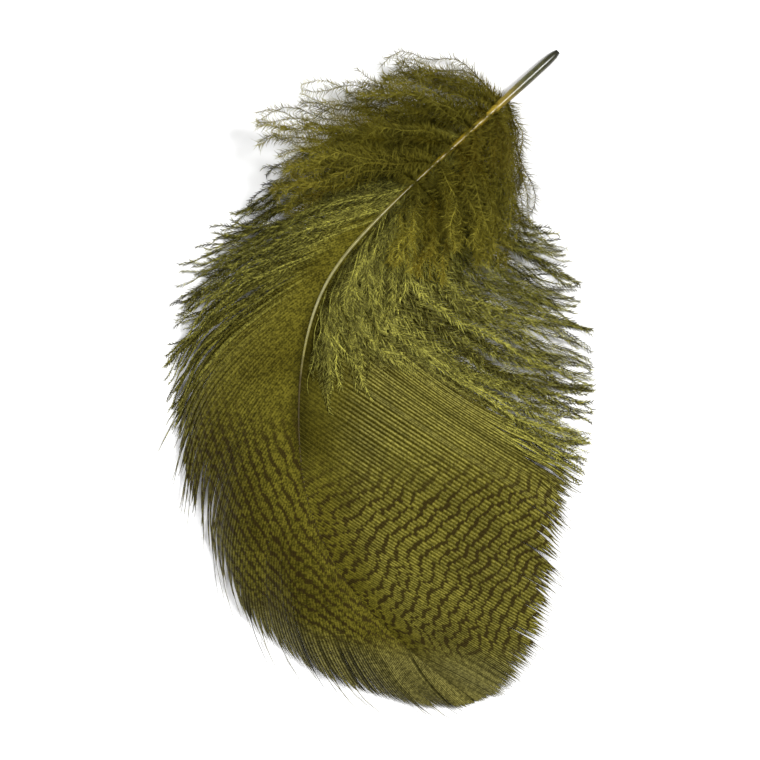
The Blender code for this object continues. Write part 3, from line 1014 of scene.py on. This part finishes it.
def tuft_strands():
    """Soft barbs from the upper shaft that run down beside it, over the inner vane."""
    rng = np.random.default_rng(TUFT_SEED)
    each = (TUFT_BARBS, 1)
    starts = np.linspace(TUFT_START, TUFT_END, TUFT_BARBS)
    starts = starts + rng.uniform(-TUFT_START_CHANGE, TUFT_START_CHANGE, TUFT_BARBS)
    along = np.linspace(0.0, 1.0, TUFT_POINTS)[None]
    last = rng.uniform(*TUFT_LAST, TUFT_BARBS)
    run = np.clip(last - starts, TUFT_SHORTEST_RUN, rng.uniform(*TUFT_RUN, TUFT_BARBS))[:, None]
    place = starts[:, None] + run * along
    width = rng.uniform(*TUFT_WIDTH, each) * np.sin(0.5 * math.pi * along)
    turns = along * rng.uniform(*TUFT_WAVE_TURNS, each) + rng.uniform(0.0, 1.0, each)
    wave = TUFT_WAVE * along * np.sin(FULL_TURN * turns)
    width = TUFT_GAP + np.maximum(width + wave, TUFT_OPENS * along)
    heading = np.radians(eased(SHAFT, 1, place))
    points = shaft_points(place)
    points[..., 0] += np.cos(heading) * width
    points[..., 1] += np.sin(heading) * width
    points[..., 2] += TUFT_ABOVE - TUFT_FALL * (width / TUFT_FALLS_OVER) ** DROOP_POWER
    points[..., 2] += rng.uniform(0.0, TUFT_LIFT, each) * np.sin(math.pi * along)
    points[..., 2] -= TUFT_SINK * (1.0 - smooth_step(*TUFT_SINKS, width))
    same = np.ones_like(width)
    thick, thinner = TUFT_HALF_WIDTH
    longer_hairs = (1.0 - TUFT_SHORT_HAIRS) * smooth_step(*TUFT_SHORT_REACH, width)
    attributes = {
        "up": upper_face(points),
        "half_width": same * (thick - thinner * along),
        "tone": same * rng.uniform(0.0, 1.0, each),
        "shade": TUFT_SHADE + (1.0 - TUFT_SHADE) * smooth_step(*TUFT_SHADE_REACH, width),
        "fluff": same,
        "grain": same * GRAIN[INNER],
        "reach": width,
        "barbule_length": (1.0 - SOFT_BARBULE_LOSS * along) * (TUFT_SHORT_HAIRS + longer_hairs),
    }
    return points, attributes


def shaft_strand():
    """The shaft as one strand that sinks between the barbs on the lower half."""
    evenly = np.arange(SHAFT_RINGS_FROM, SHAFT_LENGTH, SHAFT_RING_STEP)
    places = np.concatenate((QUILL_END_RINGS, evenly, (SHAFT_LENGTH,)))
    points = shaft_points(places)[None]
    radius = np.interp(places, SHAFT_RADIUS[:, 0], SHAFT_RADIUS[:, 1])[None]
    points[..., 2] += SHAFT_PROUD + (SHAFT_SUNK - SHAFT_PROUD) * smooth_step(*SHAFT_SINKS, places)
    up = np.zeros_like(points) + UP
    return points, {"up": up, "half_width": radius, "place": places[None]}


def down_lock_path(i):
    """The side and root of down lock i, its middle and its radius, as the solid has them."""
    share = (i + 0.5) / DOWN_LOCKS
    side = OUTER if i % 2 else INNER
    at = DOWN_START + (DOWN_END - DOWN_START) * share
    lift = math.radians(DOWN_LAYER_LIFTS[(i // 2) % len(DOWN_LAYER_LIFTS)])
    turn = DOWN_TURN * math.sin(i * DOWN_TURN_WAVE)
    longer = DOWN_SHORTEST_SHARE + (1.0 - DOWN_SHORTEST_SHARE) * share
    length = DOWN_LENGTH[0] + (DOWN_LENGTH[1] - DOWN_LENGTH[0]) * longer
    length *= 1.0 + DOWN_LENGTH_CHANGE * math.sin(i * DOWN_LENGTH_WAVE)
    heading = float(eased(SHAFT, 1, at)) + side * (DOWN_SIDEWAYS + turn)
    step = length / (DOWN_POINTS - 1)
    place = shaft_points(np.array(at))
    points = [place.copy()]
    radii = [DOWN_ROOT_RADIUS]
    for k in range(1, DOWN_POINTS):
        along = k / (DOWN_POINTS - 1)
        bent = math.radians(heading - side * DOWN_BEND * along)
        rise = lift * (1.0 - DOWN_FALL * along)
        ahead = np.array((math.sin(bent), -math.cos(bent), 0.0))
        place = place + step * (math.cos(rise) * ahead + math.sin(rise) * UP)
        swell = math.sin(math.pi * (DOWN_SWELL_START + (1.0 - DOWN_SWELL_START) * along))
        radius = DOWN_RADIUS * swell**DOWN_SWELL_POWER + DOWN_TIP_RADIUS
        place[2] = max(place[2], radius + DOWN_GAP_BELOW)
        points.append(place.copy())
        radii.append(radius)
    return side, at, np.array(points), np.array(radii)


def down_barb(rng, k, along, middle, radius):
    """Barb k of a lock, at its own angle round the lock's middle, fanning out and waving."""
    tangent = unit(np.gradient(middle, axis=0))
    sideways = unit(np.cross(tangent, UP))
    upward = unit(np.cross(sideways, tangent))
    angle = FULL_TURN * (k / BARBS_PER_DOWN_LOCK + rng.uniform(0.0, DOWN_AROUND))
    out = radius * rng.uniform(*DOWN_OUT) * smooth_step(*DOWN_OPENS, along)
    fan = rng.uniform(-1.0, 1.0) * DOWN_FAN * along**DOWN_FAN_POWER
    turns = along * rng.uniform(*DOWN_WAVE_TURNS) + rng.uniform()
    wave = DOWN_WAVE * along * np.sin(FULL_TURN * turns)
    strand = middle + sideways * (out * math.cos(angle) + fan + wave)[:, None]
    strand = strand + upward * (out * math.sin(angle) + wave * DOWN_WAVE_UP)[:, None]
    strand[:, 2] = np.maximum(strand[:, 2], DOWN_LOWEST)
    return strand


def down_strands():
    """Several wavy barbs to each lock of down, spread through its thickness."""
    rng = np.random.default_rng(DOWN_SEED)
    strands = []
    shades = []
    along = np.linspace(0.0, 1.0, DOWN_POINTS)
    for i in range(DOWN_LOCKS):
        side, at, middle, radius = down_lock_path(i)
        toward_vane = smooth_step(*DOWN_TOWARD_VANE, at)
        if side == INNER:
            kept = along * (1.0 - DOWN_SHORTENED * toward_vane)
            middle = np.stack([np.interp(kept, along, middle[:, axis]) for axis in range(3)], axis=-1)
        shade = 1.0 + DOWN_BRIGHTER[side] * toward_vane * smooth_step(*DOWN_BRIGHTENS, along)
        for k in range(BARBS_PER_DOWN_LOCK):
            strands.append(down_barb(rng, k, along, middle, radius))
            shades.append(shade)
    points = np.array(strands)
    same = np.ones(points.shape[:2])
    attributes = {
        "up": upper_face(points),
        "half_width": same * np.linspace(*DOWN_HALF_WIDTH, DOWN_POINTS),
        "tone": same * rng.uniform(0.0, 1.0, (len(strands), 1)),
        "rim": same * along,
        "shade": np.array(shades),
        "barbule_length": same * (DOWN_BARBULE_ROOT - SOFT_BARBULE_LOSS * along),
    }
    return points, attributes


def linear(colour):
    """A colour given in screen values from 0 to 255, as the shader's own."""
    made = []
    for value in colour:
        share = value / 255.0
        made.append(share / 12.92 if share <= 0.04045 else ((share + 0.055) / 1.055) ** 2.4)
    return (*made, 1.0)


def new_material(name):
    material = bpy.data.materials.new(name)
    material.use_nodes = True
    tree = material.node_tree
    return material, tree, tree.nodes["Principled BSDF"]


def read(tree, name):
    return output_of(tree, "ShaderNodeAttribute", output="Fac", attribute_name=name)


def blend(tree, share, first, second, mode="MIX"):
    inputs = {0: share, 6: first, 7: second}
    return output_of(tree, "ShaderNodeMix", inputs, 2, data_type="RGBA", blend_type=mode)


def noise(tree, scale, detail=2.0, place=None):
    if place is None:
        place = output_of(tree, "ShaderNodeTexCoord", output="Object")
    inputs = {"Vector": place, "Scale": scale, "Detail": detail}
    return output_of(tree, "ShaderNodeTexNoise", inputs, "Fac")


def remap(tree, value, low, high, to_low=0.0, to_high=1.0):
    inputs = {0: value, 1: low, 2: high, 3: to_low, 4: to_high}
    return output_of(tree, "ShaderNodeMapRange", inputs, interpolation_type="SMOOTHSTEP")


def patchy(tree, scale, colours):
    """Two colours in soft patches."""
    share = remap(tree, noise(tree, scale), *PATCH_EDGE)
    return blend(tree, share, linear(colours[0]), linear(colours[1]))


def grey(tree, level):
    return output_of(tree, "ShaderNodeCombineColor", {0: level, 1: level, 2: level})


def tinted(tree, level, colour):
    """The colour made darker or lighter by a level that varies over the surface."""
    return blend(tree, 1.0, colour, grey(tree, level), "MULTIPLY")


def bump(tree, strength, distance, height):
    inputs = {"Strength": strength, "Distance": distance, "Height": height}
    return output_of(tree, "ShaderNodeBump", inputs)


def bars(tree):
    """How dark the bars make the barb here: wavy, stepped from barb to barb and broken."""
    out_a_little = product(tree, read(tree, "reach"), JOGS_CHANGE_OUTWARD)
    along_barbs = vector(tree, read(tree, "place"), out_a_little, 0.0)
    phase = total(
        tree,
        read(tree, "bar_phase"),
        product(tree, noise(tree, JOG_SCALE, 2.0, along_barbs), read(tree, "jog")),
        product(tree, noise(tree, SWEEP_SCALE, 1.0, along_barbs), read(tree, "sweep")),
        product(tree, read(tree, "tone"), TONE_STEPS_BARS),
    )
    beat = maths(tree, "PINGPONG", phase, 0.5)
    ragged = remap(tree, noise(tree, COARSE_GRAIN, 1.0), *MOST_OF_NOISE, *BAR_RAGGED)
    uneven = remap(tree, noise(tree, UNEVEN_BARS, 1.0), *MOST_OF_NOISE, *BAR_UNEVEN)
    half_bar = total(tree, ragged, HALF_BAR, uneven)
    dark = remap(tree, maths(tree, "SUBTRACT", beat, half_bar), *BAR_EDGE, 1.0, 0.0)
    return product(tree, dark, read(tree, "barring"))


def barb_base(tree):
    """Olive where hooks hold the barbs, dark to pale where they hang loose with a painted highlight
    on barbule tips, and a painted highlight on ridges.
    """
    fluff = read(tree, "fluff")
    by_tone = remap(tree, read(tree, "tone"), *LOOSE_TONES)
    loose = blend(tree, by_tone, linear(LOOSE_BARBS[0]), linear(LOOSE_BARBS[1]))
    # Painted highlight on the barbules' tips.
    tip_highlight = product(tree, read(tree, "tipward"), LOOSE_TIP_HIGHLIGHT_SHARE)
    loose = blend(tree, tip_highlight, loose, linear(BARBULE_TIP_HIGHLIGHT))
    base = blend(tree, fluff, patchy(tree, BROAD_PATCHES, OLIVE), loose)
    base = blend(tree, read(tree, "tip_zone"), base, linear(PLAIN_TIP))
    # Painted highlight: the ridge is mixed toward a pale colour.
    ridge = remap(tree, read(tree, "web"), *RIDGE_TO_WEB, RIDGE_HIGHLIGHT_SHARE, 0.0)
    pale = product(tree, ridge, read(tree, "ridge_light_and_web_shade"), rest(tree, fluff))
    return blend(tree, pale, base, linear(RIDGE_HIGHLIGHT))


def barb_level(tree):
    """How bright the barb is here: by its own tone, a painted highlight on the ridge and painted
    shade in the web, speckle and shade.
    """
    tone = read(tree, "tone")
    own_level = remap(tree, tone, 0.0, 1.0, *BARB_LEVELS)
    # Painted highlight on the ridge and painted shade deep in the web.
    ridge_highlight_web_shade_level = remap(tree, read(tree, "web"), *RIDGE_TO_DEEP_WEB, *RIDGE_HIGHLIGHT_WEB_SHADE_LEVELS)
    apart = maths(tree, "SUBTRACT", product(tree, own_level, ridge_highlight_web_shade_level), 1.0)
    ridge_light_and_web_shade = total(tree, product(tree, read(tree, "ridge_light_and_web_shade"), 1.0 - LEAST_PAINTED_RIDGE_LIGHT), LEAST_PAINTED_RIDGE_LIGHT)
    speckle = total(tree, noise(tree, COARSE_GRAIN, 1.0), noise(tree, FINE_GRAIN, 1.0))
    speckle = remap(tree, speckle, *SPECKLE_FROM, *SPECKLE_LEVELS)
    darkest = remap(tree, tone, 0.0, BROWNEST_BARBS, BROWN_BARB_LOSS, 0.0)
    dark_barb = product(tree, darkest, read(tree, "tip_zone"))
    return product(
        tree,
        total(tree, product(tree, ridge_light_and_web_shade, apart), 1.0),
        total(tree, product(tree, speckle, read(tree, "grain")), 1.0),
        read(tree, "shade"),
        rest(tree, dark_barb),
    )


def barb_material():
    """Olive barbs with wavy dark brown bars that step a little from barb to barb."""
    material, tree, shader = new_material("barb_olive")
    base = tinted(tree, barb_level(tree), barb_base(tree))
    barred = product(tree, bars(tree), BAR_STRENGTH)
    ribs = maths(tree, "SINE", product(tree, read(tree, "reach"), BARBULE_RIBS))
    fill(tree, shader, {
        "Base Color": blend(tree, barred, base, linear(BAR_BROWN)),
        "Roughness": remap(tree, read(tree, "web"), *RIDGE_TO_WEB, *BARB_ROUGHNESS),
        "Specular IOR Level": 0.2,
        "Specular Tint": linear(OLIVE_SHEEN),
        "Normal": bump(tree, RIB_STRENGTH, RIB_HEIGHT * METRES, ribs),
    })
    return material


def down_material():
    """Dark olive down whose hairs grow paler toward their tips, partly as a painted highlight."""
    material, tree, shader = new_material("down_olive")
    brown = remap(tree, noise(tree, BROWN_PATCHES, 3.0), *BROWN_EDGE)
    base = blend(tree, brown, patchy(tree, DOWN_PATCHES, DARK_DOWN), linear(BROWN_DOWN))
    by_tone = maths(tree, "POWER", read(tree, "tone"), PALE_HAIR_POWER)
    outward = remap(tree, read(tree, "rim"), *DOWN_REACH, *DOWN_REACH_LEVELS)
    # Painted highlight toward the hairs' tips.
    tipward = product(tree, read(tree, "tipward"), DOWN_TIP_HIGHLIGHT_SHARE)
    pale = maths(tree, "ADD", product(tree, by_tone, outward), tipward, use_clamp=True)
    fill(tree, shader, {
        "Base Color": tinted(tree, read(tree, "shade"), blend(tree, pale, base, linear(PALE_DOWN))),
        "Roughness": 0.55,
        "Specular IOR Level": 0.06,
        "Specular Tint": linear(OLIVE_SHEEN),
    })
    return material


def shaft_material():
    """Grey translucent quill, yellow where it enters the down, cream, then dark brown."""
    material, tree, shader = new_material("shaft_horn")
    place = maths(tree, "DIVIDE", read(tree, "place"), SHAFT_LENGTH)
    ramp = add_node(tree, "ShaderNodeValToRGB", {0: place})
    elements = ramp.color_ramp.elements
    while len(elements) < len(SHAFT_COLOURS):
        elements.new(0.5)
    for element, (share, colour) in zip(elements, SHAFT_COLOURS):
        element.position = share
        element.color = linear(colour)
    streak = remap(tree, noise(tree, HORN_STREAKS), *PATCH_EDGE, *HORN_LEVELS)
    bumps = noise(tree, HORN_BUMPS, 1.0)
    fill(tree, shader, {
        "Base Color": tinted(tree, streak, ramp.outputs["Color"]),
        "Transmission Weight": remap(tree, place, *QUILL_CLEAR_ENDS, QUILL_CLEARNESS, 0.0),
        "Roughness": 0.28,
        "IOR": 1.54,
        "Specular IOR Level": 0.34,
        "Normal": bump(tree, HORN_BUMP_STRENGTH, HORN_BUMP_HEIGHT * METRES, bumps),
    })
    return material


def floor_material():
    material, tree, shader = new_material("pale_floor")
    tone = remap(tree, noise(tree, FLOOR_CLOUDS), *MOST_OF_NOISE, *FLOOR_LEVELS)
    fill(tree, shader, {"Base Color": grey(tree, tone), "Roughness": 0.9})
    return material


def make_floor():
    mesh = bpy.data.meshes.new("floor")
    corners = [(x * FLOOR_HALF, y * FLOOR_HALF, 0) for x, y in ((-1, -1), (1, -1), (1, 1), (-1, 1))]
    mesh.from_pydata(corners, [], [(0, 1, 2, 3)])
    mesh.materials.append(floor_material())
    floor = make_object("floor", mesh)


def add_light(name, place, size, power):
    """A round soft light that looks at the feather."""
    lamp = bpy.data.lights.new(name, "AREA")
    lamp.shape = "DISK"
    lamp.size = size
    lamp.energy = power
    light = make_object(name, lamp)
    light.location = place
    x, y, z = place
    light.rotation_euler = (math.atan2(math.hypot(x, y), z), 0.0, math.atan2(x, -y))


def light_scene():
    add_light("key", place=(0.3, 0.1, 0.46), size=0.16, power=3.4)
    add_light("fill", place=(-0.32, 0.2, 0.46), size=0.3, power=2.0)
    world = bpy.data.worlds.new("studio")
    world.use_nodes = True
    sky = world.node_tree.nodes["Background"]
    sky.inputs["Color"].default_value = (1.0, 1.0, 1.0, 1.0)
    sky.inputs["Strength"].default_value = 0.28
    bpy.context.scene.world = world
    bpy.context.scene.view_settings.view_transform = "Standard"


def place_camera():
    """Straight above, with the feather turned as in the photo."""
    camera = bpy.data.cameras.new("camera")
    camera.lens = LENS
    camera.sensor_width = SENSOR
    camera.clip_start = 0.01
    looker = make_object("camera", camera)
    looker.location = (0.0, 0.0, VIEW_WIDTH * LENS / SENSOR + SHARP_HEIGHT)
    bpy.context.scene.camera = looker


def sweep(name, strands, tree, points, thickness, smooth, material):
    """The strands with a section of so many points, its thickness a share of its width."""
    given = {"Section Points": points, "Section Thickness": thickness, "Smooth": smooth}
    return grow(name, *strands, tree, {**given, "Material": material})


def sprout(name, strands, rows, tree, barbules, seed, material):
    """Barbules on the strands in these rows, with their lengths turned into metres."""
    points, attributes = strands
    kept = {key: values[rows] for key, values in attributes.items()}
    lengths = {label: barbules[label] * METRES for label in BARBULE_LENGTHS}
    given = {**barbules, **lengths, "Seed": seed, "Material": material}
    return grow(name, points[rows], kept, tree, given)


def dress_vane(side, label, sweeping, sprouting, material):
    """One vane's barbs and barbules, in layers."""
    pieces = []
    for layer in range(FLUFF_LAYERS):
        ending = f"_{layer}" if layer else ""
        strands = vane_strands(side, layer)
        name = label + "_barbs" + ending
        pieces.append(sweep(name, strands, sweeping, 4, BARB_THICKNESS[side], False, material))
        loose = strands[1]["barbule_length"].max(axis=1) > SHORTEST_BARBULE
        barbules = LOWER_BARBULES if layer else BARBULES
        seed = VANE_BARBULE_SEED + side + LAYER_BARBULE_SEEDS * layer
        name = label + "_barbules" + ending
        pieces.append(sprout(name, strands, loose, sprouting, barbules, seed, material))
    return pieces


def dress_down(sweeping, sprouting, material):
    """The down's barbs, and its barbules in two pieces, each on every second barb."""
    strands = down_strands()
    pieces = [sweep("down_barbs", strands, sweeping, 4, SOFT_BARB_THICKNESS, True, material)]
    for part in range(DOWN_PARTS):
        name = "down_barbules" + (f"_{part}" if part else "")
        rows = slice(part, None, DOWN_PARTS)
        seed = DOWN_BARBULE_SEED + part
        pieces.append(sprout(name, strands, rows, sprouting, DOWN_BARBULES, seed, material))
    return pieces


def dress():
    """Every visible piece of the feather."""
    sweeping = strand_tree()
    sprouting = barbule_tree()
    barb = barb_material()
    tuft = tuft_strands()
    every = slice(None)
    return [
        sweep("shaft", shaft_strand(), sweeping, 16, 1.0, True, shaft_material()),
        *dress_vane(OUTER, "outer", sweeping, sprouting, barb),
        *dress_vane(INNER, "inner", sweeping, sprouting, barb),
        sweep("tuft_barbs", tuft, sweeping, 4, SOFT_BARB_THICKNESS, True, barb),
        sprout("tuft_barbules", tuft, every, sprouting, TUFT_BARBULES, TUFT_BARBULE_SEED, barb),
        *dress_down(sweeping, sprouting, down_material()),
    ]


for piece in dress():
    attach(piece, "root")
    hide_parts("feather")
make_floor()
light_scene()
place_camera()
